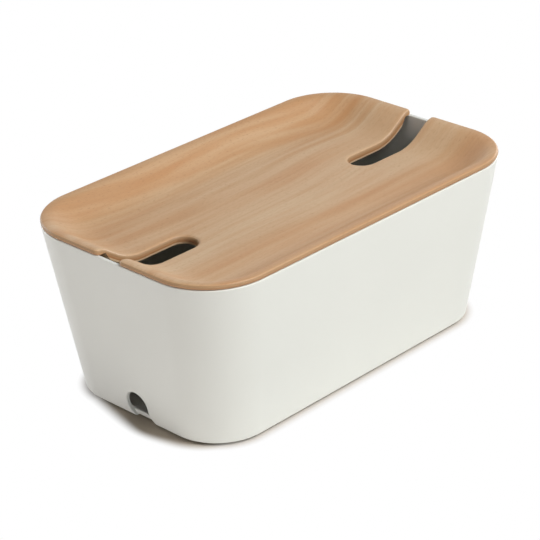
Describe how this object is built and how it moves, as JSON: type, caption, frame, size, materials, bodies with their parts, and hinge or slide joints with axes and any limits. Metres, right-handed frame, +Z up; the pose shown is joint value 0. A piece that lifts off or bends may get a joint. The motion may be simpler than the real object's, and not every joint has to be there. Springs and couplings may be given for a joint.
{
  "type": "cable management box",
  "caption": "Tapered moulded tub on rubber feet with a loose tray-topped lid of pressed veneer, slotted at its ends, and cable outlets low in the end walls.",
  "frame": {"origin": "on the table under the middle of the box, in the plane of the feet's undersides", "axes": "+X along the box towards one cable outlet, +Y across it, +Z up, the way the lid lifts off"},
  "size_m": [0.305, 0.1852, 0.1259],
  "materials": {
    "tub_plastic": "fine satin, moulded",
    "foot_rubber": "matt",
    "lid_veneer": "sanded and oiled, grain along X"
  },
  "bodies": {
    "tub": {"tub": "tub_plastic", "foot_right_back": "foot_rubber", "foot_left_back": "foot_rubber", "foot_left_front": "foot_rubber", "foot_right_front": "foot_rubber"},
    "lid": {"lid": "lid_veneer"}
  },
  "joints": [
    {"name": "lid_lift", "type": "slide", "parent": "tub", "child": "lid", "axis": [0, 0, 1], "range_m": [0, 0.1]}
  ]
}
